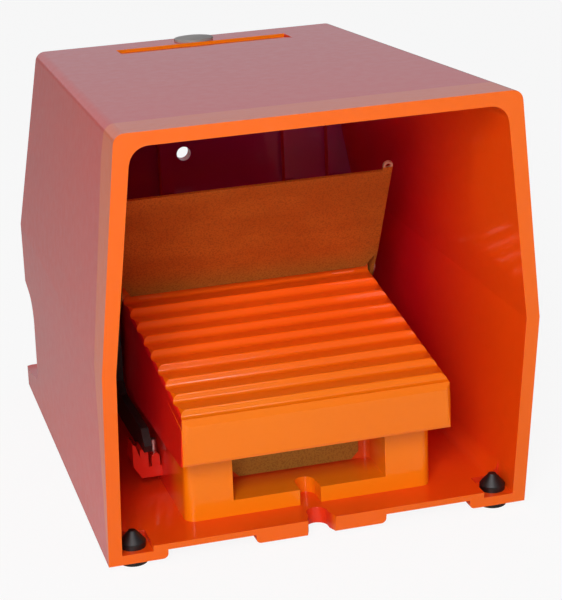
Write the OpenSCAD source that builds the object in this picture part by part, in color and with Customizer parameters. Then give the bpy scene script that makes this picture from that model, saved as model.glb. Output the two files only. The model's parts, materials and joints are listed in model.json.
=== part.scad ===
// Hooded industrial foot switch with a toe-operated trigger flap.
// X runs across the switch, +Y towards the back, +Z up. The rubber feet stand on z = 0.

/* [Hood] */
// Width of the hood at its widest line, the crease
hood_w = 160; // [144:1:192]
// Width of the hood at its back wall, at the crease
hood_rear_w = 151; // [134:1:182]
// Width over the flat top at the front rim
hood_top_w = 143; // [126:1:172]
// Width over the flat top at the back wall
hood_rear_top_w = 128; // [112:1:156]
// Height of the top edge of the front rim above the base
hood_h = 164; // [150:1:197]
// Height of the top at the back wall
hood_rear_h = 150; // [141:1:180]
// Height of the crease, where the side walls start to lean in
crease_h = 78; // [72:1:94]
// Depth of the hood from the front edge of the base to the back wall
hood_d = 175; // [165:1:210]
// How far the base runs on past the back wall
base_tail = 14; // [10:1:20]
// How far forward the rim stands at the crease
rim_reach_mid = 13.3; // [8:0.1:18]
// How far forward the rim stands at the top
rim_reach_top = 17.7; // [12:0.1:24]
// Wall thickness of the hood casting
hood_wall = 5; // [4:0.1:6]

/* [Hood base] */
// Height of the pads under the base
pad_h = 3.7; // [3.2:0.1:5]
// Thickness of the base plate of the casting
base_t = 2.6; // [2:0.1:4]
// Width of each corner pad under the front edge
corner_pad_w = 22; // [20:1:26]
// Width of each pad beside the front fixing slot
slot_pad_w = 21; // [16:1:24]
// Width of the fixing slots
slot_w = 8; // [6:0.5:10]
// Diameter of the holes in the tail for the floor screws
tail_hole_d = 7; // [5:0.5:8]
// Reach of the front slot behind the front edge
slot_reach = 9.5; // [8:0.5:12]
// Height of the kerb round the tail of the base
kerb_h = 8.5; // [7.5:0.5:11]

/* [Back recess and openings] */
// Height of the overhang above the cable recess
recess_top = 51; // [48:0.5:56]
// Depth of the cable recess into the back wall
recess_depth = 21; // [18:0.5:23]
// Width of the cable window in the recess wall
window_w = 74; // [68:1:84]
// Diameter of the hole in the back wall
back_hole_d = 6; // [4:0.5:8]
// Width of the ramped pocket in the top
top_pocket_w = 71; // [50:1:84]
// Length of the ramped pocket in the top
top_pocket_l = 13; // [10:0.5:18]
// Depth of the ramped pocket at its step
top_pocket_depth = 1.4; // [1:0.1:3]
// Diameter of the blanking plug head in the top
plug_head_d = 16; // [14:0.5:19]

/* [Pedal] */
// Width of the pedal over its ridges
pedal_w = 101; // [92:1:121]
// Number of ridges across the pedal
ridge_count = 9; // [7:1:10]
// Distance from one ridge to the next
ridge_pitch = 11.3; // [9.4:0.1:11.6]
// Drop of each ridge front down to its tread
ridge_drop = 2.4; // [1.6:0.1:3]
// Slope of the ridge line in degrees
pedal_slope = 8.7; // [6:0.1:11]
// Height of the front lip of the pedal
pedal_lip_h = 17; // [14:0.5:19]
// Radius along the side edges of the ridges
pedal_edge_r = 3; // [2:0.1:4]
// Radius of the upright corners at the front of the pedal
pedal_corner_r = 4.5; // [3:0.5:6]
// Thickness of the pedal plate and skirts
pedal_wall = 2.8; // [2.4:0.1:3.4]
// Full travel of the pedal in degrees
pedal_travel = 8; // [5:0.5:8]

/* [Axle] */
// Distance of the axle behind the front edge of the base
axle_y = 99; // [97:0.5:102]
// Height of the axle above the base
axle_h = 66.5; // [65:0.5:69]
// Diameter of the axle
axle_d = 6; // [5:0.5:7]

/* [Switch housing] */
// Length of the housing from its front face
housing_l = 135.5; // [133:0.5:138]
// Gap between the housing front and the front edge of the base
housing_front = 13; // [12:0.5:14]
// Wall thickness of the housing
housing_wall = 4; // [3.4:0.1:4.6]
// Height of the lip in front of the pocket
lip_h = 6.2; // [5:0.1:9]
// Width of the pocket in the housing front
pocket_w = 59; // [54:1:66]
// Depth of the pocket
pocket_depth = 20; // [18:0.5:22]
// Thread size of the cable entries
entry_thread_d = 20; // [16:1:20]
// Distance between the two cable entries
entry_pitch = 34; // [32:1:36]
// Height of the cable entries above the base
entry_h = 25; // [23:0.5:27]

/* [Trigger] */
// Height of the trigger flap along its slope
flap_h = 51; // [40:0.5:58]
// Forward lean of the flap from the vertical in degrees
flap_lean = 26.7; // [22:0.1:30]
// Thickness of the flap sheet
flap_t = 1.2; // [1:0.1:1.6]
// Thickness of the latch arm
arm_t = 3; // [2.5:0.1:3.5]

/* [Contacts] */
// Distance of the plunger from the axle
plunger_arm = 37; // [35:0.5:40]
// Diameter of the plunger
plunger_d = 10; // [8:0.5:12]
// Width of one contact block
block_w = 18; // [16:0.5:19]
// Length of one contact block
block_l = 36; // [30:0.5:40]

/* [Fits] */
// Radial play of a shaft in its bore
running_fit = 0.05; // [0.03:0.01:0.09]
// Side gap between the pedal skirt and the housing
skirt_gap = 1.2; // [0.8:0.1:1.6]
// Side gap between the pedal and the flap ears
ear_gap = 0.6; // [0.4:0.1:1]

/* [Hidden] */
$fn = 48;
eps = 0.01;
foot_drop = 2;

orange = [0.98, 0.45, 0.02];
zinc = [0.78, 0.68, 0.42];
steel = [0.75, 0.76, 0.77];
black_rubber = [0.06, 0.06, 0.06];
dark_steel = [0.20, 0.19, 0.19];
grey_plastic = [0.62, 0.60, 0.57];
moulding = [0.90, 0.89, 0.84];

// The whole switch is centred front to back over its footprint.
mid_y = (hood_d + base_tail - rim_reach_top) / 2;
module placed() translate([0, -mid_y, foot_drop]) children();

floor_z = pad_h + base_t;
corner_floor_z = pad_h + 0.3;
hood_rear_inner = hood_d - hood_wall;
tail_y = hood_d + base_tail;
recess_y = hood_d - recess_depth;
recess_r_top = 11;
recess_r_foot = 8;
shelf_slope = 14;
kerb_slope = 11;
rim_corner_r = 4;
crease_r = 1.5;
hood_floor_r = 6;
pad_r = 2;
foot_inset = 10.3;
foot_y = 6.5;
foot_r = 5.2;
foot_stem_r = 3.2;
foot_rear_y = tail_y - 13;

function mix(a, b, t) = a + (b - a) * t;
function arc(c, r, from, to, n) =
    [for (i = [0 : n]) c + r * [cos(mix(from, to, i / n)), sin(mix(from, to, i / n))]];
function low_w(y) = mix(hood_w, hood_rear_w, y / hood_d) / 2;
function top_w(y) = mix(hood_top_w, hood_rear_top_w, y / hood_d) / 2;
function top_z(y) = mix(hood_h, hood_rear_h, (y + rim_reach_top) / (hood_d + rim_reach_top));
function rim_y(z) = z < crease_h ? -rim_reach_mid * z / crease_h
    : -mix(rim_reach_mid, rim_reach_top, (z - crease_h) / (hood_h - crease_h));

// Extrudes a side view, drawn as [y, z], across the switch from x0 to x1.
module across(x0, x1) translate([x0, 0, 0]) rotate([90, 0, 90]) linear_extrude(x1 - x0) children();
module across_mid(w) across(-w / 2, w / 2) children();
module at_xy(points) for (p = points) translate([p[0], p[1], 0]) children();
module both_sides() { children(); mirror([1, 0, 0]) children(); }
module x_cyl(r, x0, x1) translate([x0, 0, 0]) rotate([0, 90, 0]) cylinder(r = r, h = x1 - x0);
module at_axle() translate([0, axle_y, axle_h]) children();
module rounded_plan(w, l, r) {
    translate([r, 0]) square([w - 2 * r, l]);
    translate([0, r]) square([w, l - 2 * r]);
    for (x = [r, w - r], y = [r, l - r]) translate([x, y]) circle(r);
}

// ---------- hood ----------
module hood_section(y, inset, low, corner_r, low_r = 1) {
    slab = 0.2;
    half_low = low_w(y) - inset;
    half_top = top_w(y) - inset;
    top = top_z(y + slab) - inset;
    translate([0, y + slab, 0]) rotate([90, 0, 0]) linear_extrude(slab) {
        for (s = [-1, 1]) {
            translate([s * (half_low - low_r), low + low_r]) circle(low_r, $fn = 24);
            translate([s * (half_low - crease_r), crease_h]) circle(crease_r, $fn = 32);
            translate([s * (half_top - corner_r), top - corner_r]) circle(corner_r, $fn = 32);
        }
    }
}
module hood_outside() {
    edge_r = 3;
    hull() {
        hood_section(-rim_reach_top - 2, 0, -1, rim_corner_r);
        hood_section(hood_d - edge_r, 0, -1, rim_corner_r);
        hood_section(hood_d - edge_r * 0.3, edge_r * 0.3, -1, rim_corner_r);
        hood_section(hood_d - 0.2, edge_r, -1, rim_corner_r);
    }
}
module hood_inside() {
    inner_r = 7;
    hull() {
        hood_section(-rim_reach_top - 3, hood_wall, floor_z, inner_r, hood_floor_r);
        hood_section(hood_rear_inner - 0.2, hood_wall, floor_z, inner_r, hood_floor_r);
    }
}
// Everything in front of the rim line and below the base.
module front_and_under_cut() {
    across_mid(3 * hood_w) polygon([
        [-80, -20], [tail_y + 40, -20], [tail_y + 40, 0], [0, 0],
        [-rim_reach_mid, crease_h], [-rim_reach_top, hood_h],
        [rim_y(hood_h + 20), hood_h + 20], [-80, hood_h + 20]]);
}
// Side view of the cable recess, grown by g for the wall behind it.
module recess_profile(g) {
    far = tail_y + 30;
    c_top = [recess_y + recess_r_top, recess_top - recess_r_top];
    c_foot = [recess_y + 1.5 + recess_r_foot, kerb_h + 3.5 + recess_r_foot];
    shelf = [[far, recess_top + g + (far - c_top[0]) * tan(shelf_slope)]];
    top_arc = arc(c_top, recess_r_top + g, 90 + shelf_slope, 180, 6);
    foot = g > 0 ? [[recess_y - g, -1], [far, -1]]
        : concat(arc(c_foot, recess_r_foot, 180, 270 - kerb_slope, 5),
                 [[tail_y - 5, kerb_h], [far, kerb_h]]);
    polygon(concat(shelf, top_arc, foot));
}
module tail_block() {
    tail_r = 4;
    translate([0, recess_y - 20, 0]) linear_extrude(kerb_h + 14) difference() {
        translate([-low_w(recess_y - 20), 0]) rounded_plan(2 * low_w(recess_y - 20), tail_y - recess_y + 20, tail_r);
        for (s = [-1, 1]) translate([s * low_w(recess_y - 20), 0])
            rotate(atan((low_w(recess_y - 20) - low_w(tail_y)) / (tail_y - recess_y + 20)) * s)
                translate([s * 10, 0]) square([20, 3 * hood_d], center = true);
    }
}
module tail_channel() {
    half = low_w(tail_y) - hood_wall + 1;
    translate([-half, recess_y - 2, floor_z]) cube([2 * half, tail_y - recess_y - 7, 40]);
    translate([-half + 12, recess_y - 2, floor_z]) cube([2 * half - 24, 60, 40]);
}
module under_hollow() {
    rib_t = 3;
    side = hood_wall + 1;
    front_l = 18;
    both_sides() translate([0, front_l, 0]) rotate([90, 0, 0]) linear_extrude(front_l + 20) difference() {
        translate([slot_w / 2 + slot_pad_w / 2, -1])
            square([low_w(0) - (corner_pad_w + slot_w + slot_pad_w) / 2, pad_h + 1]);
        pad_outline(slot_w / 2, slot_pad_w);
        pad_outline(low_w(0) - corner_pad_w, corner_pad_w);
    }
    difference() {
        translate([0, 0, -1]) linear_extrude(pad_h + 1) polygon([
            [-low_w(front_l) + side, front_l], [low_w(front_l) - side, front_l],
            [low_w(tail_y) - side, tail_y - 20], [-low_w(tail_y) + side, tail_y - 20]]);
        for (x = [-30, 30]) translate([x - rib_t / 2, 0, -2]) cube([rib_t, tail_y, 20]);
        for (y = [75, 125]) translate([-hood_w / 2, y, -2]) cube([hood_w, rib_t, 20]);
        at_xy(housing_fixings) cylinder(r = 8, h = 20);
    }
}
// Front view of one pad under the base, with its lower corners rounded.
module pad_outline(x, w) translate([x, 0]) offset(r = pad_r) offset(delta = -pad_r) square([w, 5 * pad_h]);
// Fixing slot open at the front edge of the base, with a flared mouth.
module front_slot() {
    mouth_flare = 1.3;
    mouth_l = 3.5;
    straight_l = slot_reach - slot_w / 2;
    translate([0, 0, -1]) linear_extrude(30) {
        translate([0, straight_l]) circle(d = slot_w);
        translate([-slot_w / 2, -30]) square([slot_w, straight_l + 30]);
        polygon([[-slot_w / 2 - mouth_flare, -30], [-slot_w / 2 - mouth_flare, 0], [-slot_w / 2, mouth_l],
                 [slot_w / 2, mouth_l], [slot_w / 2 + mouth_flare, 0], [slot_w / 2 + mouth_flare, -30]]);
    }
}
module foot_places() {
    at_xy([for (s = [-1, 1]) [s * (low_w(foot_y) - foot_inset), foot_y]]) children();
    at_xy([for (s = [-1, 1]) [s * (low_w(foot_rear_y) - foot_inset), foot_rear_y]]) children();
}
module corner_wells() {
    well_w = 11.5;
    well_l = 13;
    both_sides() translate([0, 0, corner_floor_z]) linear_extrude(10) polygon([
        [low_w(0) - hood_wall - well_w, -5], [low_w(-5) - hood_wall, -5],
        [low_w(well_l) - hood_wall, well_l], [low_w(0) - hood_wall - well_w, well_l]]);
    both_sides() translate([low_w(foot_rear_y) - foot_inset - well_w / 2, foot_rear_y - well_w / 2, corner_floor_z])
        cube([well_w, well_w, 10]);
}
module wall_ribs() {
    rib_low = 86;
    rib_deep = 4.5;
    places = [[-13, 5.6], [-40.5, 4.4], [40.5, 4.4], [-60, 4.4], [60, 4.4]];
    for (p = places) translate([p[0] - p[1] / 2, 0, 0]) rotate([90, 0, 90]) linear_extrude(p[1]) polygon([
        [hood_rear_inner + 1, rib_low - 6], [hood_rear_inner - rib_deep, rib_low],
        [hood_rear_inner - rib_deep, hood_rear_h], [hood_rear_inner + 1, hood_rear_h]]);
}
module top_pocket() {
    step_y = hood_d - plug_head_d - plug_back - 0.2;
    across(pocket_x - top_pocket_w / 2, pocket_x + top_pocket_w / 2) polygon([
        [step_y, top_z(step_y) + 5], [step_y, top_z(step_y) - top_pocket_depth],
        [step_y - top_pocket_l, top_z(step_y - top_pocket_l)], [step_y - top_pocket_l, top_z(step_y) + 5]]);
}
pocket_x = 2;
plug_x = 1;
plug_back = 2.4;
plug_y = hood_d - plug_head_d / 2 - plug_back;
plug_tilt = atan((hood_h - hood_rear_h) / (hood_d + rim_reach_top));
plug_stem_r = plug_head_d / 2 - 2;
module at_plug() translate([plug_x, plug_y, top_z(plug_y)]) rotate([-plug_tilt, 0, 0]) children();

back_hole_x = -4.5;
back_hole_z = 101;
base_fixings = [[-44, tail_y - 14], [44, tail_y - 14]];
window_sill = floor_z + 1.5;
window_head = recess_top - 9;
module hood() color(orange) placed() difference() {
    union() {
        difference() {
            union() {
                hood_outside();
                tail_block();
            }
            difference() {
                hood_inside();
                across_mid(2 * hood_w) recess_profile(hood_wall);
                wall_ribs();
            }
            across_mid(2 * hood_w) recess_profile(0);
        }
        translate([-low_w(tail_y) + 2, hood_d - 30, 0]) cube([2 * low_w(tail_y) - 4, 10, floor_z]);
    }
    tail_channel();
    front_and_under_cut();
    under_hollow();
    front_slot();
    corner_wells();
    top_pocket();
    at_plug() translate([0, 0, -20]) cylinder(r = plug_stem_r + running_fit, h = 40);
    translate([back_hole_x, hood_d + 10, back_hole_z]) rotate([90, 0, 0]) cylinder(d = back_hole_d, h = 30);
    foot_places() translate([0, 0, -1]) cylinder(r = foot_stem_r + running_fit, h = 20);
    at_xy(base_fixings) translate([0, 0, -1]) cylinder(d = tail_hole_d, h = 30);
    at_xy(housing_fixings) translate([0, 0, -1]) cylinder(r = screw_r + 0.25, h = 30);
    at_xy(housing_fixings) translate([0, 0, -1]) cylinder(r = 5.2, h = pad_h + 1);
    translate([-window_w / 2, recess_y - 10, window_sill]) cube([window_w, 20, window_head - window_sill]);
}

module rubber_feet() color(black_rubber) placed() foot_places() {
    barb_r = 4.8;
    translate([0, 0, -foot_drop]) cylinder(r = foot_r, h = foot_drop);
    cylinder(r = foot_stem_r, h = corner_floor_z);
    translate([0, 0, corner_floor_z]) {
        cylinder(r = barb_r, h = 2.2);
        translate([0, 0, 2.2]) cylinder(r1 = barb_r, r2 = 1.4, h = 4);
    }
}

module top_plug() color(grey_plastic) placed() at_plug() {
    head_h = 1.6;
    dome_r = 42;
    intersection() {
        cylinder(d = plug_head_d, h = head_h);
        translate([0, 0, head_h - dome_r]) sphere(r = dome_r, $fn = 96);
    }
    translate([0, 0, -hood_wall - 2]) cylinder(r = plug_stem_r, h = hood_wall + 2);
    translate([0, 0, -hood_wall - 3.5]) cylinder(r1 = plug_stem_r - 1, r2 = plug_stem_r, h = 1.5);
}

// ---------- switch housing ----------
skirt_draft = 1.2;
housing_w = pedal_w - 2 * (pedal_wall + skirt_gap) + 2 * skirt_draft;
housing_end = housing_front + housing_l;
roof_front = 34.5;
roof_rear = 50;
roof_rear_y = 82;
tail_roof = 43;
screw_r = 2.5;
fix_x = housing_w / 2 - 9;
fix_boss_r = 9;
fix_boss_h = 22;
base_boss_r = 4;
housing_fixings = [[-fix_x, 42], [fix_x, 42], [-fix_x, 138], [fix_x, 138]];
chamber_front = housing_front + pocket_depth + housing_wall;
lug_x0 = 36;
lug_x1 = 43.5;
lug_r = 6.2;
spring_x = 33;
spring_y = 45;
spring_cup_r = 6;
spring_cup_depth = 13;
plunger_y = axle_y - plunger_arm;
function roof_z(y) = y < roof_rear_y
    ? mix(roof_front, roof_rear, (y - housing_front) / (roof_rear_y - housing_front))
    : y < 110 ? roof_rear : mix(roof_rear, tail_roof, (y - 110) / (housing_end - 110));
function roof_line(drop) = [
    [housing_end, tail_roof - drop], [110, roof_rear - drop], [roof_rear_y, roof_rear - drop],
    [housing_front, roof_front - drop]];

// Plan of the four corners round the fixing bosses, filled out to the housing's corners.
module fixing_corners(r) for (p = housing_fixings) translate(p) {
    out = 20;
    left = min(0, sign(p[0]) * out);
    front = p[1] < plunger_y ? -out : 0;
    circle(r = r);
    translate([left, front]) square([out, out]);
    translate([left, -r]) square([out, 2 * r]);
    translate([-r, front]) square([2 * r, out]);
}
module housing_body() intersection() {
    front_r = 4;
    across_mid(housing_w + 1) polygon(concat(
        [[housing_front, floor_z], [housing_end, floor_z]], roof_line(0)));
    translate([-housing_w / 2, housing_front, 0]) linear_extrude(100)
        rounded_plan(housing_w, housing_l, front_r);
    translate([0, housing_end + 1, 0]) rotate([90, 0, 0]) linear_extrude(housing_l + 2) polygon([
        [-housing_w / 2, 0], [housing_w / 2, 0], [housing_w / 2, draft_low],
        [housing_w / 2 - skirt_draft, draft_high], [housing_w / 2 - skirt_draft, 100],
        [-housing_w / 2 + skirt_draft, 100], [-housing_w / 2 + skirt_draft, draft_high],
        [-housing_w / 2, draft_low]]);
}
module chamber() {
    w = housing_w - 2 * housing_wall;
    intersection() {
        across_mid(w) polygon(concat(
            [[chamber_front, floor_z - 1], [housing_end - 8, floor_z - 1]],
            [[housing_end - 8, roof_z(housing_end - 8) - housing_wall], [110, roof_rear - housing_wall],
             [roof_rear_y, roof_rear - housing_wall],
             [chamber_front, roof_z(chamber_front) - housing_wall]]));
        translate([-w / 2, chamber_front, 0]) linear_extrude(100)
            rounded_plan(w, housing_end - 8 - chamber_front, 3);
    }
}
boss_reach = 7;
pocket_floor = floor_z + lip_h;
module housing_pocket() {
    r = 2.5;
    translate([-pocket_w / 2, housing_front - 10, pocket_floor]) linear_extrude(100)
        rounded_plan(pocket_w, pocket_depth + 10, r);
}
module pivot_lugs() both_sides() translate([lug_x0, 0, 0]) rotate([90, 0, 90]) linear_extrude(lug_x1 - lug_x0) {
    translate([axle_y, axle_h]) circle(lug_r);
    polygon([[axle_y - lug_r, axle_h], [axle_y + lug_r, axle_h], [axle_y + lug_r + 6, roof_rear - 2],
             [axle_y - lug_r - 1.5, roof_rear - 2]]);
}
// Guide for the latch arm on the left side of the housing: a bracket with two rounded tabs.
guide_y = 50;
guide_x = housing_w / 2;
tab_w = 3.2;
guide_low = 10;
guide_w = 11;
tab_places = [[6.6, 22], [2.2, 19.5]];
module latch_guide() {
    bracket_l = 9;
    tab_l = 7;
    // Front view of the bracket: a pointed outer plate with a chamfered foot.
    translate([-guide_x - guide_w, guide_y + bracket_l, guide_low]) rotate([90, 0, 0]) linear_extrude(bracket_l)
        polygon([[0, 5], [3, 0], [guide_w + 1, 0], [guide_w + 1, 4], [4, 4.5], [2.6, 9], [1.4, 13.2], [0, 14.5]]);
    for (t = tab_places) translate([-guide_x - t[0], guide_y, guide_low]) {
        translate([-tab_w / 2, 0, 0]) cube([tab_w, tab_l, t[1] - guide_low - tab_w / 2]);
        translate([0, 0, t[1] - guide_low - tab_w / 2]) rotate([-90, 0, 0]) cylinder(d = tab_w, h = tab_l);
    }
}
module spring_cups(r, drop) at_xy([[-spring_x, spring_y], [spring_x, spring_y]])
    translate([0, 0, roof_z(spring_y) - spring_cup_depth - drop]) cylinder(r = r, h = spring_cup_depth + drop + 2);
base_rebate = 2.2;
base_screw_r = 1.5;
base_screw_places = [for (x = [-1, 1], y = [0, 1])
    [x * (housing_w / 2 - 7), y == 0 ? 60 : housing_end - 26]];
module housing() color(orange) placed() {
    difference() {
        union() {
            difference() {
                housing_body();
                difference() {
                    chamber();
                    spring_cups(spring_cup_r + 2.6, 2);
                    linear_extrude(fix_boss_h) fixing_corners(fix_boss_r);
                    at_xy(base_screw_places) cylinder(r = base_boss_r, h = 18);
                    translate([earth_x, earth_y, earth_z]) cylinder(r = 5.5, h = 40);
                }
            }
            pivot_lugs();
            latch_guide();
            translate([0, plunger_y, bush_seat - 6]) cylinder(r = bush_flange_r + 0.5, h = 6);
            at_entries() translate([0, 0, -8]) cylinder(r = entry_thread_d / 2 + 3, h = 8);
        }
        housing_pocket();
        translate([0, 0, floor_z - 1]) linear_extrude(60) {
            translate([0, housing_front + boss_reach]) circle(d = slot_w);
            translate([-slot_w / 2, 0]) square([slot_w, housing_front + boss_reach]);
        }
        translate([-window_plate_w / 2, housing_front + pocket_depth - 1, window_low])
            cube([window_plate_w, housing_wall + 2, window_high - window_low]);
        spring_cups(spring_cup_r, 0);
        at_axle() x_cyl(axle_d / 2, -60, 60);
        translate([0, plunger_y, 0]) cylinder(r = bush_r, h = 80);
        at_xy(housing_fixings) translate([0, 0, floor_z - 1]) cylinder(r = screw_r, h = 12);
        at_xy(base_screw_places) translate([0, 0, floor_z - 1]) cylinder(r = base_screw_r, h = 10);
        base_recess(0);
        at_entries() translate([0, 0, -10]) cylinder(r = entry_bore_r, h = 14);
        translate([earth_x, earth_y, earth_z - 1]) cylinder(r = 1.75, h = 9);
        plate_screw_places() translate([0, 0, -1]) cylinder(r = plate_screw_r, h = housing_wall + 3);
        at_buffers() translate([0, 0, -buffer_stem_l]) cylinder(r = buffer_stem_r, h = buffer_stem_l + 1);
        translate([0, plunger_y, bush_seat]) cylinder(r = bush_flange_r + 0.5, h = 20);
        guide_pin_place() translate([0, 0, -4]) cylinder(r = guide_pin_r, h = 4 + eps);
    }
}
module base_recess(play) {
    w = housing_w - 5;
    y0 = chamber_front - 2.5;
    l = housing_end - 4 - y0;
    translate([-w / 2 + play, y0 + play, floor_z - (play > 0 ? 0 : 1)])
        linear_extrude(base_rebate + (play > 0 ? 0 : 1)) difference() {
            rounded_plan(w - 2 * play, l - 2 * play, 3);
            translate([w / 2 - play, -y0 - play]) fixing_corners(fix_boss_r - 1.5 + play);
        }
}
gasket_t = 0.6;
module base_plate() color(steel) placed() difference() {
    difference() {
        base_recess(0.15);
        translate([-100, -10, floor_z + base_rebate - gasket_t]) cube([200, 300, 10]);
    }
    at_xy(base_screw_places) translate([0, 0, floor_z - 1]) cylinder(r = base_screw_r + 0.2, h = 10);
}
module base_gasket() color(black_rubber) placed() difference() {
    intersection() {
        base_recess(0.15);
        translate([-100, -10, floor_z + base_rebate - gasket_t]) cube([200, 300, gasket_t]);
    }
    at_xy(base_screw_places) translate([0, 0, floor_z - 1]) cylinder(r = base_screw_r + 0.2, h = 10);
    w = housing_w - 2 * housing_wall;
    translate([-w / 2, chamber_front, 0]) linear_extrude(60) difference() {
        rounded_plan(w, housing_end - 8 - chamber_front, 3);
        translate([w / 2, -chamber_front]) at_xy(base_screw_places) circle(r = base_boss_r);
        translate([w / 2, -chamber_front]) fixing_corners(fix_boss_r);
    }
}
module base_screws() color(steel) placed() at_xy(base_screw_places) {
    translate([0, 0, floor_z]) cylinder(r = base_screw_r, h = 8);
}
module housing_screws() color(steel) placed() at_xy(housing_fixings) {
    head_h = 2.8;
    translate([0, 0, pad_h - head_h]) cylinder(r = 4.4, h = head_h);
    translate([0, 0, pad_h - eps]) cylinder(r = screw_r, h = base_t + 9);
}

// ---------- pocket plate over the wiring window ----------
window_plate_w = 34;
window_low = pocket_floor + 3;
window_high = 29;
plate_screw_r = 1.5;
plate_t = 1.2;
module plate_screw_places() both_sides()
    translate([window_plate_w / 2 + 4.5, housing_front + pocket_depth, window_high - 3])
        rotate([-90, 0, 0]) children();
module pocket_plate() color(zinc) placed() difference() {
    w = window_plate_w + 16;
    low = pocket_floor + 0.6;
    high = window_high + 2;
    translate([-w / 2, housing_front + pocket_depth - plate_t, low]) cube([w, plate_t, high - low]);
    plate_screw_places() translate([0, 0, -10]) cylinder(r = plate_screw_r + 0.2, h = 20);
    for (s = [-1, 1]) translate([s * w / 2, housing_front + pocket_depth, low]) rotate([0, 45, 0])
        cube([4, 10, 4], center = true);
}
module plate_screws() color(steel) placed() plate_screw_places() {
    translate([0, 0, -plate_t - 1.6]) cylinder(r = 2.8, h = 1.6);
    translate([0, 0, -plate_t]) cylinder(r = plate_screw_r, h = plate_t + housing_wall);
}

// ---------- cable entries ----------
entry_bore_r = entry_thread_d / 2 - 0.75;
module at_entries() for (s = [-1, 1]) translate([s * entry_pitch / 2, housing_end, entry_h])
    rotate([-90, 0, 0]) children();
module at_plugged_entry() translate([entry_pitch / 2, housing_end, entry_h]) rotate([-90, 0, 0]) children();
seal_t = 1.5;
module entry_plug() color(black_rubber) placed() at_plugged_entry() difference() {
    union() {
        translate([0, 0, -7]) cylinder(r = entry_bore_r - running_fit, h = 7 + seal_t);
        translate([0, 0, seal_t]) cylinder(r = entry_thread_d / 2 + 2.6, h = 4.2, $fn = 6);
    }
    translate([-7, -1, seal_t + 2.8]) cube([14, 2, 4]);
}
module entry_seal() color(black_rubber) placed() at_plugged_entry() difference() {
    cylinder(r = entry_thread_d / 2 + 1.4, h = seal_t);
    translate([0, 0, -1]) cylinder(r = entry_bore_r, h = seal_t + 2);
}

// ---------- pedal ----------
first_ridge = [axle_y - 6.4, axle_h + 2.4];
pitch_y = ridge_pitch * cos(pedal_slope);
pitch_z = ridge_pitch * sin(pedal_slope);
function ridge_top(i) = [first_ridge[0] - i * pitch_y, first_ridge[1] - i * pitch_z];
front_top = ridge_top(ridge_count - 1) - [5, 4.2];
front_foot = front_top + [1.4, 0];
skirt_low = front_top[1] - pedal_lip_h;
skirt_fall = 3.2;
draft_low = skirt_low - skirt_fall - 2;
draft_high = front_top[1] + 1;
pedal_boss_r = 6.8;
plate_drop = ridge_drop + pedal_wall + 0.8;
// Side view of one ridge, from its foot to its crest: a short steep front and a narrow rounded crest.
function ridge_points(i) = [for (d = [[-3.4, -ridge_drop - 0.25], [-2.2, -ridge_drop], [-1.5, -ridge_drop * 0.8],
    [-0.7, -0.75], [-0.45, -0.3], [0, 0], [0.5, -0.08]]) ridge_top(i) + d];
module pedal_side_view() polygon(concat(
    [[axle_y + pedal_boss_r, axle_h], [axle_y + pedal_boss_r, axle_h - 12],
     [axle_y - 9, skirt_low - skirt_fall], [front_foot[0] + 2, skirt_low], [front_foot[0] + 0.6, skirt_low + 0.4],
     [front_foot[0], skirt_low + 1.6], front_top - [0, 0.8], front_top + [0.5, 0]],
    [for (i = [ridge_count - 1 : -1 : 0]) each ridge_points(i)],
    [[axle_y - 4, axle_h + 2.2]]));
// Long block under the line of the ridges, rounded along both side edges.
module crowned_block() translate([0, first_ridge[0], first_ridge[1]]) rotate([90 + pedal_slope, 0, 0])
    translate([0, 0, -40]) linear_extrude(200) {
        below = 4 * pedal_edge_r;
        hull() for (x = [-1, 1], z = [-1, -2]) translate([x * (pedal_w / 2 - pedal_edge_r), z * pedal_edge_r])
            circle(pedal_edge_r);
        translate([-pedal_w, -below - 200]) square([2 * pedal_w, 200 + below - 2 * pedal_edge_r]);
    }
module pedal_skirt_shape(inset) {
    // Drafted outer form, wider at the foot than at the ridges.
    half = pedal_w / 2 - inset;
    z1 = axle_h + 12;
    rotate([90, 0, 0]) translate([0, 0, -(axle_y + 20)]) linear_extrude(axle_y + 40) polygon([
        [-half - skirt_draft, draft_low], [half + skirt_draft, draft_low],
        [half, draft_high], [half, z1], [-half, z1], [-half, draft_high]]);
}
module pedal() color(orange) placed() difference() {
    union() {
        intersection() {
            across_mid(pedal_w + 10) pedal_side_view();
            pedal_skirt_shape(0);
            crowned_block();
            translate([-pedal_w / 2 - skirt_draft, front_top[0], 0]) linear_extrude(axle_h + 20)
                rounded_plan(pedal_w + 2 * skirt_draft, axle_y + 40, pedal_corner_r);
        }
        both_sides() at_axle() x_cyl(pedal_boss_r, lug_x1 + 0.5, pedal_w / 2);
    }
    // Hollow underside.
    difference() {
        intersection() {
            across_mid(pedal_w) polygon([
                [front_foot[0] + pedal_wall, skirt_low - 10], [axle_y + 20, skirt_low - 10],
                [axle_y + 20, axle_h + 20], [axle_y - 5, axle_h + 20], ridge_top(0) + [-1.2, -plate_drop],
                ridge_top(ridge_count - 1) + [-1, -plate_drop]]);
            pedal_skirt_shape(pedal_wall);
        }
        // Pusher boss over the plunger, spring seats and the pivot bosses stay.
        translate([0, plunger_y, pusher_low]) cylinder(r = 7, h = 40);
        at_xy([[-spring_x, spring_y], [spring_x, spring_y]]) translate([0, 0, spring_seat - 4]) cylinder(r = 3.2, h = 40);
        both_sides() at_axle() x_cyl(pedal_boss_r, lug_x1 + 0.5, pedal_w / 2);
    }
    at_axle() x_cyl(axle_d / 2 + running_fit, -70, 70);
    // Clearance for the housing lugs.
    both_sides() translate([lug_x0 - 1, axle_y - lug_r - 2, axle_h - 14]) cube([lug_x1 - lug_x0 + 1.5, 40, 30]);
}
function crest_z(y) = first_ridge[1] - (first_ridge[0] - y) * tan(pedal_slope);
pusher_low = crest_z(plunger_y) - plate_drop - 3.5;
spring_seat = crest_z(spring_y) - plate_drop;

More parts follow.
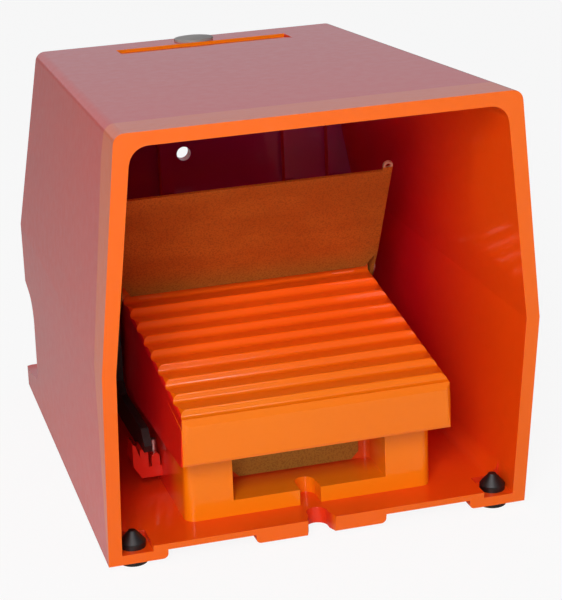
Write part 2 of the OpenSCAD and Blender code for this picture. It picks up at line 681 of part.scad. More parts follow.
// ---------- axle ----------
ear_x = pedal_w / 2 + ear_gap;
flap_half = ear_x + flap_t;
axle_left = flap_half + arm_t + 2.6;
axle_right = flap_half + 2.6;
clip_t = 0.8;
module pedal_axle() color(zinc) placed() at_axle() difference() {
    x_cyl(axle_d / 2, -axle_left, axle_right);
    for (s = [-1, 1]) translate([s > 0 ? axle_right - 1.8 : -axle_left + 1, 0, 0]) rotate([0, 90, 0])
        difference() {
            cylinder(d = axle_d + 2, h = clip_t);
            translate([0, 0, -1]) cylinder(d = axle_d - 1.2, h = clip_t + 2);
        }
}
module axle_clips() color(steel) placed() at_axle()
    for (x = [axle_right - 1.8, -axle_left + 1]) translate([x, 0, 0]) rotate([0, 90, 0])
        translate([0, 0, 0.05]) difference() {
            cylinder(d = axle_d + 4, h = clip_t - 0.1);
            translate([0, 0, -1]) cylinder(d = axle_d - 1.2, h = clip_t + 2);
            translate([0, -(axle_d - 1.8) / 2, -1]) cube([axle_d + 4, axle_d - 1.8, clip_t + 2]);
        }
module axle_washers() color(steel) placed() at_axle()
    for (x = [lug_x0 - 1, -lug_x0]) translate([x, 0, 0]) rotate([0, 90, 0]) difference() {
        cylinder(r = lug_r - 0.4, h = 1);
        translate([0, 0, -1]) cylinder(d = axle_d + 2 * running_fit, h = 3);
    }

// ---------- springs ----------
function frame_u(d) = let (a = abs(d[2]) < 0.9 ? [0, 0, 1] : [1, 0, 0], c = cross(d, a)) c / norm(c);
// A round wire along any list of points, with s sides.
module wire(points, r, s) {
    n = len(points);
    rings = [for (i = [0 : n - 1]) let (
        d0 = points[min(i + 1, n - 1)] - points[max(i - 1, 0)], d = d0 / norm(d0),
        u = frame_u(d), v = cross(d, u))
        for (k = [0 : s - 1]) points[i] + r * (cos(360 * k / s) * u + sin(360 * k / s) * v)];
    sides = [for (i = [0 : n - 2], k = [0 : s - 1]) let (
        a = i * s + k, b = i * s + (k + 1) % s) each [[a, b + s, b], [a, a + s, b + s]]];
    polyhedron(rings, concat(sides, [[for (k = [0 : s - 1]) k]], [[for (k = [s - 1 : -1 : 0]) (n - 1) * s + k]]));
}
function coil(r, pitch, turns, steps) = [for (i = [0 : turns * steps])
    [r * cos(360 * i / steps), r * sin(360 * i / steps), pitch * i / steps]];
pedal_wire_r = 0.7;
module pedal_springs() color(steel) placed() {
    coil_r = 4.4;
    low = roof_z(spring_y) - spring_cup_depth + pedal_wire_r + 0.1;
    high = spring_seat - pedal_wire_r - coil_r * tan(pedal_slope) - 0.1;
    turns = 7;
    at_xy([[-spring_x, spring_y], [spring_x, spring_y]]) translate([0, 0, low])
        wire(coil(coil_r, (high - low) / turns, turns, 12), pedal_wire_r, 5);
}
flap_wire_r = 0.7;
flap_coil_x = 24;
// Torsion springs: one leg lies on the housing roof, the coil goes round the axle, the other leg
// rises to the back of the flap.
module flap_springs() color(steel) placed() both_sides() at_axle() {
    r = axle_d / 2 + flap_wire_r + 0.5;
    turns = 4;
    turn_steps = 12;
    play = 0.1;
    roof_leg = [6.5, roof_rear - axle_h + flap_wire_r + play];
    flap_gap = -flap_offset + flap_t + flap_wire_r + play;
    rise = 17;
    flap_leg = [flap_gap * cos(flap_lean) - rise * sin(flap_lean), flap_gap * sin(flap_lean) + rise * cos(flap_lean)];
    from = atan2(roof_leg[1], roof_leg[0]) + acos(r / norm(roof_leg));
    to = 360 * turns + atan2(flap_leg[1], flap_leg[0]) - acos(r / norm(flap_leg));
    pitch = 2 * (flap_wire_r + play);
    steps = ceil((to - from) / 360 * turn_steps);
    coil_points = [for (i = [0 : steps]) let (a = mix(from, to, i / steps))
        [flap_coil_x + pitch * (a - from) / 360, r * cos(a), r * sin(a)]];
    end_x = flap_coil_x + pitch * (to - from) / 360;
    wire(concat([[flap_coil_x, roof_leg[0] + 5, roof_leg[1]], [flap_coil_x, roof_leg[0], roof_leg[1]]],
                coil_points, [[end_x, flap_leg[0], flap_leg[1]]]), flap_wire_r, 5);
}

// Rubber buttons that stop the pedal plate at its full travel.
roof_slope = atan((roof_rear - roof_front) / (roof_rear_y - housing_front));
buffer_x = housing_w / 2 - 10;
buffer_y = housing_front + 7;
buffer_r = 4;
buffer_stem_r = 1.8;
buffer_stem_l = 3;
function pressed_z(y, z) = axle_h + (z - axle_h) * cos(pedal_travel) + (y - axle_y) * sin(pedal_travel);
buffer_h = (pressed_z(buffer_y, crest_z(buffer_y) - plate_drop) - roof_z(buffer_y)) * cos(roof_slope)
    - buffer_r * sin(roof_slope) - 0.3;
module at_buffers() both_sides() translate([buffer_x, buffer_y, roof_z(buffer_y)])
    rotate([roof_slope, 0, 0]) children();
module stop_buffers() color(black_rubber) placed() at_buffers() {
    translate([0, 0, -buffer_stem_l]) cylinder(r = buffer_stem_r, h = buffer_stem_l);
    cylinder(r = buffer_r, h = buffer_h);
}

// ---------- trigger flap ----------
// The flap lies in a plane that passes in front of the axle and leans forward at its top.
flap_offset = 8.5;
flap_foot = 11.5;
module in_flap_frame() at_axle() rotate([flap_lean, 0, 0]) children();
eye_r = 1.9;
flap_corner = [4.5, 8];
ear_r = axle_d / 2 + 4.2;
module trigger_flap() color(zinc) placed() difference() {
    in_flap_frame() flap_sheet();
    at_axle() for (p = rivet_spots) translate([0, p[0], p[1]]) x_cyl(rivet_r, -flap_half - 1, -ear_x + 1);
}
module flap_sheet() {
    low = flap_foot - 3.6;
    front = -flap_offset;
    difference() {
        translate([-flap_half, front, low]) cube([2 * flap_half, flap_t, flap_h]);
        both_sides() translate([flap_half, front + 5, low]) rotate([90, 0, 0]) linear_extrude(10)
            polygon([[1, flap_corner[1]], [0, flap_corner[1]], [-flap_corner[0], 0], [-flap_corner[0], -1], [1, -1]]);
    }
    // Side ears turned back to the axle.
    both_sides() translate([ear_x, 0, 0]) rotate([90, 0, 90]) linear_extrude(flap_t) difference() {
        union() {
            circle(r = ear_r);
            polygon([[front + flap_t, low + 15], [front, low + 15], [front, low + flap_corner[1]], [-ear_r, 0],
                     [0, -ear_r], [ear_r, 0], [5, 8]]);
        }
        circle(r = axle_d / 2 + running_fit);
    }
    // Eye at the top right corner.
    translate([flap_half - eye_r, front + flap_t, low + flap_h]) rotate([90, 0, 0]) linear_extrude(flap_t)
        difference() {
            union() {
                translate([0, 2.4]) circle(r = eye_r);
                translate([-eye_r, -1]) square([2 * eye_r, 3.4]);
            }
            translate([0, 2.4]) circle(r = 1.1);
        }
}
// The arm hangs from the axle behind the pedal and runs forward under the skirt to its guide.
arm_reach = axle_y - 45;
arm_low = 22.6 - axle_h;
arm_shelf = skirt_low - skirt_fall - axle_h;
module latch_arm() color(dark_steel) placed() at_axle() translate([-flap_half - arm_t, 0, 0])
    rotate([90, 0, 90]) linear_extrude(arm_t) difference() {
        union() {
            circle(r = 8);
            polygon([[8, 0], [6.5, arm_low + 4], [3, arm_low - 2], [16 - arm_reach, arm_low - 2],
                     [13 - arm_reach, arm_low], [-arm_reach, arm_low], [-1.5 - arm_reach, arm_low + 3],
                     [4 - arm_reach, arm_shelf], [-14, arm_shelf], [-9, arm_shelf + 4], [-8, 0]]);
        }
        circle(r = axle_d / 2 + running_fit);
        for (p = rivet_spots) translate(p) circle(r = rivet_r);
    }
rivet_r = 1;
rivet_spots = [[-4.7, 2.6], [4.7, -2.6]];
module arm_rivets() color(steel) placed() at_axle() for (p = rivet_spots)
    translate([-flap_half - arm_t, p[0], p[1]]) {
        x_cyl(rivet_r, 0, arm_t + flap_t);
        x_cyl(1.8, -0.7, 0);
    }
guide_pin_r = 1.2;
module guide_pin_place() translate([-guide_x - tab_places[1][0], guide_y + 3.5, tab_places[1][1]]) children();
module guide_pin() color(steel) placed() guide_pin_place() {
    translate([0, 0, -4]) cylinder(r = guide_pin_r, h = 4);
    cylinder(r = guide_pin_r, h = 4.6);
}

// ---------- plunger and contacts ----------
bush_r = plunger_d / 2 + 2;
bush_flange_r = bush_r + 1.8;
bush_flange_t = 1.4;
bush_seat = roof_z(plunger_y) + 0.3;
head_low = 33;
plunger_travel = plunger_arm * sin(pedal_travel);
module plunger() color(black_rubber) placed() translate([0, plunger_y, 0]) {
    top = pusher_low - 0.6;
    dome = 1.2;
    translate([0, 0, head_low + 3]) cylinder(d = plunger_d, h = top - dome - head_low - 3);
    translate([0, 0, top - dome]) cylinder(r1 = plunger_d / 2, r2 = plunger_d / 2 - 3.5, h = dome);
    translate([-block_mid - 5, -5, head_low]) cube([2 * block_mid + 10, 10, 3.4]);
}
module plunger_bush() color([0.80, 0.62, 0.28]) placed() translate([0, plunger_y, 0]) {
    difference() {
        union() {
            translate([0, 0, bush_seat - housing_wall]) cylinder(r = bush_r, h = housing_wall + eps);
            translate([0, 0, bush_seat]) cylinder(r = bush_flange_r, h = bush_flange_t);
        }
        translate([0, 0, 20]) cylinder(r = plunger_d / 2 + running_fit, h = 60);
    }
}
module plunger_gaiter() color(black_rubber) placed() translate([0, plunger_y, 0]) {
    low = bush_seat + bush_flange_t + 0.05;
    high = pusher_low - 2.4;
    folds = 2;
    step = (high - low) / folds;
    inner = plunger_d / 2 + 0.3;
    rotate_extrude() polygon(concat(
        [[inner, low], [inner + 1.8, low]],
        [for (i = [0 : folds - 1], p = [[2.6, 0.25], [1.2, 0.75]]) [inner + p[0], low + (i + p[1]) * step]],
        [[inner + 0.9, high], [inner, high]],
        [for (i = [folds - 1 : -1 : 0], p = [[0.3, 0.75], [1.7, 0.25]]) [inner + p[0], low + (i + p[1]) * step]]));
}
block_mid = 13;
block_low = floor_z + base_rebate;
block_high = 26.5;
stem_r = 3;
module contact_block(s) translate([s * block_mid, plunger_y, block_low]) difference() {
    h = block_high - block_low;
    union() {
        translate([-block_w / 2, -block_l / 2, 0]) cube([block_w, block_l, h - 7]);
        translate([-block_w / 2 + 0.6, -block_l / 2 + 8, 0]) cube([block_w - 1.2, block_l - 16, h]);
        for (t = [-1, 1]) translate([-1, t * (block_l / 2 - 4) - 4, 0]) cube([2, 8, h - 3.5]);
    }
    translate([0, 0, 2]) cylinder(r = stem_r + running_fit, h = 60);
    for (x = [-1, 1], y = [-1, 1]) translate([x * terminal_x, y * (block_l / 2 - 4), h - 7 - 5]) cylinder(r = 1.5, h = 20);
}
terminal_x = 5;
module contact_block_left() color(moulding) placed() contact_block(-1);
module contact_block_right() color([0.75, 0.10, 0.08]) placed() contact_block(1);
module contact_stem(s) translate([s * block_mid, plunger_y, 0]) {
    low = block_low + 2 + plunger_travel + 1;
    translate([0, 0, low]) cylinder(r = stem_r, h = head_low - 0.3 - low);
}
module contact_stem_left() color(black_rubber) placed() contact_stem(-1);
module contact_stem_right() color(black_rubber) placed() contact_stem(1);
module terminal_screws() color(steel) placed()
    for (s = [-1, 1], x = [-1, 1], y = [-1, 1])
        translate([s * block_mid + x * terminal_x, plunger_y + y * (block_l / 2 - 4), block_high - 7]) {
            translate([0, 0, -5]) cylinder(r = 1.5, h = 5);
            difference() {
                cylinder(r = 3.2, h = 2);
                translate([-4, -0.5, 1.2]) cube([8, 1, 2]);
            }
        }
earth_x = 20;
earth_y = 118;
earth_z = 30;
module earth_screw() color(zinc) placed() translate([earth_x, earth_y, earth_z]) {
    cylinder(r = 1.75, h = 7);
    translate([0, 0, -4]) difference() {
        cylinder(r = 3.5, h = 4);
        translate([-4, -0.6, -1]) cube([8, 1.2, 2.2]);
    }
}

hood();
rubber_feet();
top_plug();
housing();
base_plate();
base_gasket();
base_screws();
housing_screws();
pocket_plate();
plate_screws();
pedal();
pedal_axle();
axle_clips();
axle_washers();
pedal_springs();
stop_buffers();
trigger_flap();
flap_springs();
latch_arm();
arm_rivets();
guide_pin();
plunger();
plunger_bush();
plunger_gaiter();
contact_block_left();
contact_block_right();
contact_stem_left();
contact_stem_right();
terminal_screws();
earth_screw();
entry_plug();
entry_seal();
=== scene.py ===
"""Looks of the hooded foot switch: paint, plating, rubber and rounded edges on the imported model."""
import json
import math

import bmesh
import bpy
from mathutils import Matrix, Vector
from mathutils.bvhtree import BVHTree


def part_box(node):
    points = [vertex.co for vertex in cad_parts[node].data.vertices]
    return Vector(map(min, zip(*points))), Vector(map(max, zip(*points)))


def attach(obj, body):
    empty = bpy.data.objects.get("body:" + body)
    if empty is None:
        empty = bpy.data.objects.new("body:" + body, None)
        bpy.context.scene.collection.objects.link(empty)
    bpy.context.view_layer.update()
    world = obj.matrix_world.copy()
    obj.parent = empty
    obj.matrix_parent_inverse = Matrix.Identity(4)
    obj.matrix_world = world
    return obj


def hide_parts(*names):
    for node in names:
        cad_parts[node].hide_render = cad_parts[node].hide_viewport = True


with open("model.json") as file:
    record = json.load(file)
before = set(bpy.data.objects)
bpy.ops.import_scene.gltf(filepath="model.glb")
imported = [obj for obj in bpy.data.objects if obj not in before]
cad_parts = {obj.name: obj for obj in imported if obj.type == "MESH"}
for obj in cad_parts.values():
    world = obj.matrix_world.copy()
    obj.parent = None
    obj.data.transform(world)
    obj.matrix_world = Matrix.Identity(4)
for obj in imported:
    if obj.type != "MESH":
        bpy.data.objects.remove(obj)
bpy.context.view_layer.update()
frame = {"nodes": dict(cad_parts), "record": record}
MM = 0.001


# ---------- shader maths ----------
class Socket:
    """A node's output that takes part in arithmetic; each operator adds one Math node."""

    def __init__(self, tree, out):
        self.tree, self.out = tree, out

    def _math(self, operation, first, second):
        return self.tree.node("ShaderNodeMath", {"operation": operation}, {0: first, 1: second})

    def __add__(self, other):
        return self._math("ADD", self, other)

    __radd__ = __add__

    def __mul__(self, other):
        return self._math("MULTIPLY", self, other)

    __rmul__ = __mul__

    def __rsub__(self, other):
        return self._math("SUBTRACT", other, self)

    def above(self, edge, soft):
        """0 below edge, 1 above edge + soft."""
        return self.tree.node("ShaderNodeMapRange", {"interpolation_type": "SMOOTHSTEP"},
                              {"Value": self, "From Min": edge, "From Max": edge + soft})


class Finish:
    """One material's node tree."""

    def __init__(self, name):
        self.material = bpy.data.materials.new(name)
        self.material.use_nodes = True
        self.nodes = self.material.node_tree.nodes
        self.links = self.material.node_tree.links
        self.nodes.clear()

    def node(self, kind, settings=None, inputs=None, out=0):
        made = self.nodes.new(kind)
        for name, value in (settings or {}).items():
            setattr(made, name, value)
        for name, value in (inputs or {}).items():
            if isinstance(value, Socket):
                self.links.new(value.out, made.inputs[name])
            else:
                made.inputs[name].default_value = value
        return Socket(self, made.outputs[out])

    def place(self):
        return self.node("ShaderNodeTexCoord", out=3)

    def axis(self, name):
        return self.node("ShaderNodeSeparateXYZ", {}, {0: self.place()}, out="XYZ".index(name))

    def noise(self, scale, detail=2.0, rough=0.5, stretch=None):
        where = self.place()
        if stretch:
            where = self.node("ShaderNodeMapping", {}, {"Vector": where, "Scale": stretch})
        return self.node("ShaderNodeTexNoise", {}, {"Vector": where, "Scale": scale, "Detail": detail,
                                                    "Roughness": rough})

    def mix(self, factor, first, second):
        made = self.nodes.new("ShaderNodeMix")
        made.data_type = "RGBA"
        for slot, value in ((0, factor), (6, first), (7, second)):
            if isinstance(value, Socket):
                self.links.new(value.out, made.inputs[slot])
            else:
                made.inputs[slot].default_value = value if slot == 0 else (*value, 1)
        return Socket(self, made.outputs[2])

    def bump(self, height, strength, distance):
        return self.node("ShaderNodeBump", {}, {"Height": height, "Strength": strength, "Distance": distance})

    def surface(self, **inputs):
        named = {key.replace("_", " "): value for key, value in inputs.items()}
        shader = self.node("ShaderNodeBsdfPrincipled", {}, named)
        self.node_output(shader)
        return self.material

    def node_output(self, shader):
        end = self.nodes.new("ShaderNodeOutputMaterial")
        self.links.new(shader.out, end.inputs["Surface"])


# ---------- finishes ----------
def orange_enamel(name, near, deep, front=-0.10, back=0.08):
    """Glossy enamel over a casting: slightly rippled, from one colour at the front to another at the back; where
    the two differ, the change is painted light and shade, lit at the front and redder in shade further back.
    """
    f = Finish(name)
    cloud = f.noise(9, 3)
    fine = f.noise(260, 2)
    # Painted light and shade: the near colour where light falls at the front, the deep colour in shade further
    # back.
    lit_to_shade = f.mix(f.axis("Y").above(front, back - front), near, deep)
    body = f.mix(cloud.above(0.35, 0.3) * 0.10, lit_to_shade, (0.80, 0.08, 0.004))
    ripple = f.bump(f.noise(120, 2), 0.06, 0.0005)
    skin = f.node("ShaderNodeBump", {}, {"Height": fine, "Strength": 0.05, "Distance": 0.0002, "Normal": ripple})
    return f.surface(Base_Color=body, Roughness=0.34 + 0.10 * fine, Normal=skin, IOR=1.25, Coat_Weight=0.7,
                     Coat_Roughness=0.10, Coat_IOR=1.45)


def yellow_zinc():
    """Yellow passivated zinc on rolled sheet: brown-gold with a fine dark speckle and a greener edge, and a pale
    painted highlight along the flap's top edge.
    """
    f = Finish("yellow_zinc")
    speckle = f.noise(1500, 3, 0.65)
    cloud = f.noise(26, 3, 0.6, (1, 1, 2.5))
    height = f.axis("Z")
    gold = f.mix(cloud.above(0.35, 0.35), (0.50, 0.150, 0.014), (0.60, 0.205, 0.022))
    foot = f.mix((1 - height.above(0.072, 0.012)) * 0.55, gold, (0.42, 0.30, 0.045))
    dull = f.mix((1 - speckle.above(0.36, 0.2)) * 0.5, foot, (0.24, 0.075, 0.010))
    # Painted highlight: a pale band along the flap's top edge.
    body = f.mix(height.above(0.1186, 0.0006) * 0.7, dull, (0.75, 0.55, 0.40))
    grain = f.bump(speckle, 0.2, 0.0002)
    return f.surface(Base_Color=body, Roughness=0.42 + 0.2 * speckle, Metallic=0.6, Normal=grain)


def bright_steel():
    f = Finish("bright_steel")
    brush = f.noise(700, 2, 0.5, (1, 8, 8))
    body = f.mix(brush, (0.52, 0.52, 0.50), (0.72, 0.71, 0.68))
    return f.surface(Base_Color=body, Roughness=0.24 + 0.2 * brush, Metallic=1.0,
                     Normal=f.bump(brush, 0.1, 0.0001))


def spring_wire():
    f = Finish("spring_wire")
    drawn = f.noise(500, 2)
    body = f.mix(drawn, (0.22, 0.22, 0.23), (0.38, 0.38, 0.39))
    return f.surface(Base_Color=body, Roughness=0.3 + 0.15 * drawn, Metallic=1.0)


def blackened_steel():
    f = Finish("blackened_steel")
    cloud = f.noise(60, 4, 0.6)
    body = f.mix(cloud.above(0.4, 0.3), (0.022, 0.014, 0.014), (0.05, 0.03, 0.028))
    return f.surface(Base_Color=body, Roughness=0.38 + 0.25 * cloud, Metallic=0.4,
                     Normal=f.bump(cloud, 0.2, 0.0003))


def plain_moulding(name, dark, light, rough, grain=380.0):
    """A moulded plastic or rubber with a fine spark-eroded texture."""
    f = Finish(name)
    texture = f.noise(grain, 3, 0.6)
    body = f.mix(f.noise(40, 2).above(0.35, 0.3), dark, light)
    return f.surface(Base_Color=body, Roughness=rough + 0.15 * texture, Normal=f.bump(texture, 0.25, 0.0002))


def sintered_bronze():
    f = Finish("sintered_bronze")
    pores = f.noise(1400, 2)
    body = f.mix(pores.above(0.35, 0.2), (0.20, 0.11, 0.04), (0.58, 0.36, 0.15))
    return f.surface(Base_Color=body, Roughness=0.45, Metallic=0.9, Normal=f.bump(pores, 0.3, 0.0001))


# Lit and shaded copies of one orange paint: painted light and painted shade.
LIT_ORANGE = (0.93, 0.22, 0.001)
SHADED_RED = (0.78, 0.020, 0.010)
# Painted shade: the hollow's walls, redder and darker further back.
SHADED_WALL_PAINT = orange_enamel("wall_shade_enamel", (0.95, 0.085, 0.002), (0.88, 0.006, 0.012), -0.085, 0.02)
# Painted light: the step of the top pocket that faces the light, in the lit orange.
LIT_STEP_PAINT = orange_enamel("step_lit_enamel", LIT_ORANGE, LIT_ORANGE)
# The pedal treads' colour at the back, with their painted shade.
SHADED_CREST_PAINT = orange_enamel("crest_shade_enamel", (0.94, 0.12, 0.002), (0.95, 0.12, 0.003))
# Painted shade: the dark purple-red of the hollow's back wall.
SHADED_BACK_PAINT = orange_enamel("back_shade_enamel", (0.45, 0.004, 0.120), (0.38, 0.003, 0.100))
FINISHES = {
    # Painted light and shade: the forward-facing rim in lit orange, the top and sides behind it in shaded red.
    "orange_paint": orange_enamel("orange_enamel", (0.93, 0.14, 0.001), (0.80, 0.035, 0.007), -0.0853, -0.0825),
    "yellow_zinc": yellow_zinc(),
    "steel": bright_steel(),
    "spring_steel": spring_wire(),
    "dark_steel": blackened_steel(),
    "black_rubber": plain_moulding("black_rubber", (0.003, 0.003, 0.003), (0.006, 0.006, 0.006), 0.34),
    "grey_plastic": plain_moulding("grey_plastic", (0.33, 0.30, 0.27), (0.42, 0.39, 0.36), 0.40),
    "black_plastic": plain_moulding("black_plastic", (0.010, 0.010, 0.010), (0.022, 0.022, 0.022), 0.35),
    "ivory_plastic": plain_moulding("ivory_plastic", (0.66, 0.62, 0.50), (0.76, 0.72, 0.60), 0.40),
    "red_plastic": plain_moulding("red_plastic", (0.42, 0.012, 0.010), (0.52, 0.018, 0.012), 0.35),
    "bronze": sintered_bronze(),
}
SLOT_OF = {row["node"]: row["material_slot"] for row in frame["record"]["subparts"]}
BODY_OF = {node: body for body, nodes in frame["record"]["behaviour"]["bodies"].items() for node in nodes}


def dress(node):
    """Gives a CAD node its finish."""
    mesh = frame["nodes"][node].data
    mesh.materials.clear()
    mesh.materials.append(FINISHES[SLOT_OF[node]])


# ---------- rounded edges ----------
def clean_copy(node, name, flat_deg=0.4):
    """A CAD node's shape as one welded mesh whose flat faces are whole."""
    bm = bmesh.new()
    bm.from_mesh(frame["nodes"][node].data)
    bmesh.ops.remove_doubles(bm, verts=bm.verts, dist=2e-6)
    bmesh.ops.dissolve_limit(bm, angle_limit=math.radians(flat_deg), verts=bm.verts, edges=bm.edges)
    mesh = bpy.data.meshes.new(name)
    bm.to_mesh(mesh)
    bm.free()
    piece = bpy.data.objects.new(name, mesh)
    bpy.context.scene.collection.objects.link(piece)
    return piece


def apply_modifiers(piece):
    """Turns the piece and its modifiers into a plain mesh."""
    graph = bpy.context.evaluated_depsgraph_get()
    finished = bpy.data.meshes.new_from_object(piece.evaluated_get(graph))
    piece.modifiers.clear()
    piece.data = finished


def round_edges(piece, width, segments=3, corner_deg=32.0):
    """Rolls every sharp edge over to a small radius."""
    bevel = piece.modifiers.new("edges", "BEVEL")
    bevel.limit_method = "ANGLE"
    bevel.angle_limit = math.radians(corner_deg)
    bevel.width = width
    bevel.segments = segments
    bevel.miter_outer = "MITER_ARC"
    bevel.use_clamp_overlap = True
    for face in piece.data.polygons:
        face.use_smooth = True
    flat = piece.modifiers.new("flat_faces", "WEIGHTED_NORMAL")
    flat.weight = 100
    apply_modifiers(piece)


def finished_casting(node, name, width, segments=3, corner_deg=32.0):
    """The rounded, painted or plated piece that stands for a CAD node."""
    piece = clean_copy(node, name)
    round_edges(piece, width, segments, corner_deg)
    piece.data.materials.clear()
    piece.data.materials.append(FINISHES[SLOT_OF[node]])
    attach(piece, BODY_OF[node])
    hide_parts(node)
    return piece


def repaint(piece, paint, chosen):
    """Gives the faces that the test picks another paint."""
    piece.data.materials.append(paint)
    for face in piece.data.polygons:
        if chosen(face):
            face.material_index = len(piece.data.materials) - 1


def paint_hollow_shade(piece, nearest=0.02, reach=0.2):
    """Paints shade into the hood's hollow: the faces that look across it, and its back wall, get a darker, redder
    colour as painted shade, and the forward-facing step of the top pocket gets the lit orange as painted light.
    """
    tree = BVHTree.FromPolygons([v.co for v in piece.data.vertices], [p.vertices for p in piece.data.polygons])

    def is_shaded_back(face):
        return face.normal.y < -0.5 and face.center.y > 0 and face.center.z < 0.147

    def is_shaded_wall(face):
        away = tree.ray_cast(face.center + face.normal * 1e-4, face.normal, reach)[3]
        return away is not None and away > nearest

    def is_lit_step(face):
        return face.normal.y < -0.5 and face.center.y > -0.08 and face.center.z >= 0.147

    repaint(piece, SHADED_WALL_PAINT, is_shaded_wall)
    repaint(piece, LIT_STEP_PAINT, is_lit_step)
    repaint(piece, SHADED_BACK_PAINT, is_shaded_back)


for node in frame["nodes"]:
    dress(node)

ROUNDED = {  # CAD node: (piece, edge radius)
    "hood": ("hood_casting", 0.9 * MM),
    "housing": ("housing_casting", 0.8 * MM),
    "pedal": ("pedal_casting", 0.4 * MM),
    "trigger_flap": ("flap_pressing", 0.2 * MM),
    "latch_arm": ("arm_pressing", 0.4 * MM),
}


def everywhere(face):
    return True


def is_side(face):
    return abs(face.normal.x) > 0.8


def finish_castings():
    """Makes the rounded pieces, and paints light and shade into the hood's hollow, the housing and the pedal."""
    made = {node: finished_casting(node, name, radius) for node, (name, radius) in ROUNDED.items()}
    paint_hollow_shade(made["hood"])
    # Painted shade: the housing turns from the lit orange to the shaded red further back in the hollow.
    shaded_housing_paint = orange_enamel("housing_shade_enamel", LIT_ORANGE, SHADED_RED, -0.068, -0.045)
    repaint(made["housing"], shaded_housing_paint, everywhere)
    # Painted shade: the pedal's treads turn redder towards the back, under the hood's roof.
    shaded_tread_paint = orange_enamel("pedal_tread_shade_enamel", (0.94, 0.20, 0.001), (0.95, 0.12, 0.003), -0.085, -0.03)
    # Painted shade: the pedal's side faces, dark purple-red and darker towards the back.
    shaded_side_paint = orange_enamel("pedal_side_shade_enamel", (0.90, 0.020, 0.010), (0.60, 0.002, 0.030), -0.08, 0.0)
    repaint(made["pedal"], shaded_tread_paint, everywhere)
    repaint(made["pedal"], shaded_side_paint, is_side)


finish_castings()


# ---------- small pieces ----------
def prism(name, outline, x0, x1):
    """A side view, drawn as (y, z), drawn out across the switch from x0 to x1."""
    n = len(outline)
    verts = [(x, y, z) for x in (x0, x1) for y, z in outline]
    faces = [tuple(range(n)), tuple(range(2 * n - 1, n - 1, -1))]
    faces += [(i, i + n, (i + 1) % n + n, (i + 1) % n) for i in range(n)]
    bm = bmesh.new()
    made = [bm.verts.new(v) for v in verts]
    for face in faces:
        bm.faces.new([made[i] for i in face])
    bmesh.ops.recalc_face_normals(bm, faces=bm.faces)
    mesh = bpy.data.meshes.new(name)
    bm.to_mesh(mesh)
    bm.free()
    piece = bpy.data.objects.new(name, mesh)
    bpy.context.scene.collection.objects.link(piece)
    return piece


def crest_bridges(lug_in=34.9 * MM, lug_out=44.6 * MM):
    """Closes the rear crest of the pedal in front of the two housing lugs."""
    low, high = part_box("pedal_axle")
    axle_y, axle_z = (low[1] + high[1]) / 2, (low[2] + high[2]) / 2
    profile = [(-8.4, -3.0), (-8.4, 0.0), (-7.8, 0.4), (-7.2, 1.6), (-6.75, 2.3), (-6.55, 2.3), (-6.55, -3.0)]
    outline = [(axle_y + y * MM, axle_z + z * MM) for y, z in profile]
    for side, x0, x1 in (("left", -lug_out, -lug_in), ("right", lug_in, lug_out)):
        piece = prism("crest_bridge_" + side, outline, x0, x1)
        piece.data.materials.append(SHADED_CREST_PAINT)
        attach(piece, "pedal")


crest_bridges()


# ---------- studio ----------
def place_camera():
    """Stands in front of the left side of the opening, a little above it and slightly rolled."""
    azimuth, elevation, roll = math.radians(15.49), math.radians(19.52), math.radians(-2.3)
    view_dir = Vector((math.sin(azimuth) * math.cos(elevation), math.cos(azimuth) * math.cos(elevation),
                       -math.sin(elevation)))
    side = view_dir.cross(Vector((0, 0, 1))).normalized()
    top = side.cross(view_dir)
    right = math.cos(roll) * side + math.sin(roll) * top
    up = -math.sin(roll) * side + math.cos(roll) * top
    front_foot = Vector((0, -85.65, 2)) * MM
    away, to_left, raised = 801.31 * MM, 18.07 * MM, 86.13 * MM
    spot = front_foot - away * view_dir - to_left * right + raised * up
    camera = bpy.data.objects.new("camera", bpy.data.cameras.new("camera"))
    camera.matrix_world = Matrix.Translation(spot) @ Matrix((right, up, -view_dir)).transposed().to_4x4()
    camera.data.sensor_width = 36
    camera.data.lens = 130.8
    camera.data.shift_x = 0.0137
    camera.data.shift_y = -0.002
    camera.data.clip_start = 0.01
    camera.data.clip_end = 20
    bpy.context.scene.collection.objects.link(camera)
    bpy.context.scene.camera = camera


def soft_light(name, spot, target, size, power, colour=(1, 1, 1), diffuse=True):
    """A rectangular lamp at spot that faces target; without diffuse it only shows as a gleam."""
    light = bpy.data.lights.new(name, "AREA")
    light.shape = "RECTANGLE"
    light.size, light.size_y = size
    light.energy = power
    light.color = colour
    lamp = bpy.data.objects.new(name, light)
    lamp.location = spot
    lamp.rotation_euler = (Vector(target) - Vector(spot)).to_track_quat("-Z", "Y").to_euler()
    lamp.visible_diffuse = diffuse
    bpy.context.scene.collection.objects.link(lamp)


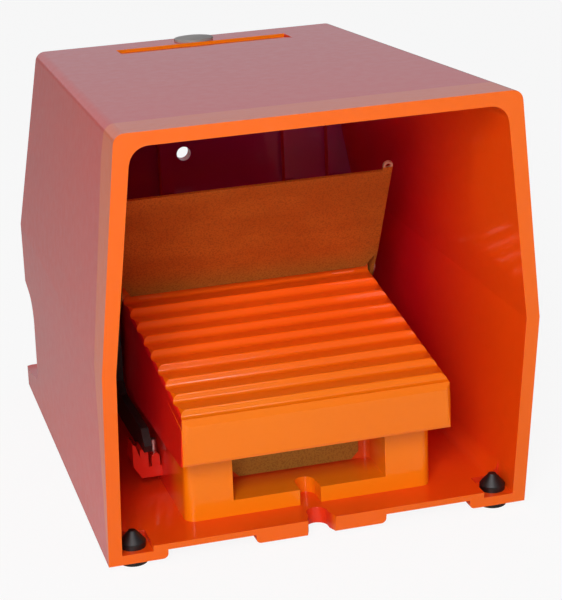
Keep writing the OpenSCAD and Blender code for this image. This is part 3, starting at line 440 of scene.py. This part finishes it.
def pale_surroundings():
    """White to the camera; in reflections white behind, above and beside, and dim in front; dimmer as a light."""
    world = bpy.data.worlds.new("surroundings")
    bpy.context.scene.world = world
    world.use_nodes = True
    tree = world.node_tree
    tree.nodes.clear()

    def node(kind, settings=None, inputs=None, out=0):
        made = tree.nodes.new(kind)
        for name, value in (settings or {}).items():
            setattr(made, name, value)
        for name, value in (inputs or {}).items():
            if isinstance(value, bpy.types.NodeSocket):
                tree.links.new(value, made.inputs[name])
            else:
                made.inputs[name].default_value = value
        return made.outputs[out]

    heading = node("ShaderNodeSeparateXYZ", {}, {0: node("ShaderNodeTexCoord", out=0)}, out=1)
    behind = node("ShaderNodeMapRange", {"interpolation_type": "SMOOTHSTEP"},
                  {"Value": heading, "From Min": -0.75, "From Max": 0.1, "To Min": 0.08, "To Max": 0.62})
    path = tree.nodes.new("ShaderNodeLightPath").outputs
    lit = node("ShaderNodeBackground", {}, {"Color": (0.93, 0.95, 1.0, 1), "Strength": 0.25})
    mirrored = node("ShaderNodeBackground", {}, {"Color": (0.92, 0.90, 1.0, 1), "Strength": behind})
    white = node("ShaderNodeBackground", {}, {"Color": (1, 1, 1, 1), "Strength": 1.0})
    glossy = node("ShaderNodeMixShader", {}, {0: path["Is Glossy Ray"], 1: lit, 2: mirrored})
    seen = node("ShaderNodeMixShader", {}, {0: path["Is Camera Ray"], 1: glossy, 2: white})
    tree.links.new(seen, tree.nodes.new("ShaderNodeOutputWorld").inputs["Surface"])


def pale_floor():
    """A wide white sheet that keeps a soft shadow."""
    f = Finish("white_sheet")
    white = f.node("ShaderNodeEmission", {}, {"Color": (1, 1, 1, 1), "Strength": 1.0})
    paper = f.node("ShaderNodeBsdfDiffuse", {}, {"Color": (0.9, 0.9, 0.9, 1)})
    seen = f.node("ShaderNodeLightPath", out=0)
    both = f.node("ShaderNodeMixShader", {}, {0: seen * 0.9, 1: paper, 2: white})
    f.node_output(both)
    mesh = bpy.data.meshes.new("floor")
    reach = 6.0
    mesh.from_pydata([(-reach, -reach, 0), (reach, -reach, 0), (reach, reach, 0), (-reach, reach, 0)], [],
                     [(0, 1, 2, 3)])
    mesh.materials.append(f.material)
    floor = bpy.data.objects.new("floor", mesh)
    bpy.context.scene.collection.objects.link(floor)


place_camera()
pale_surroundings()
pale_floor()
soft_light("key", (-0.45, -1.03, 0.72), (0, 0, 0.07), (0.45, 0.45), 8.5)
soft_light("front_fill", (-0.50, -1.20, 0.20), (0, 0, 0.08), (0.5, 0.5), 3.5)
soft_light("glint", (-0.15, -0.50, 1.07), (0, 0, 0.07), (0.9, 0.10), 5, (1.0, 0.9, 0.92), False)
bpy.context.scene.view_settings.view_transform = "Standard"
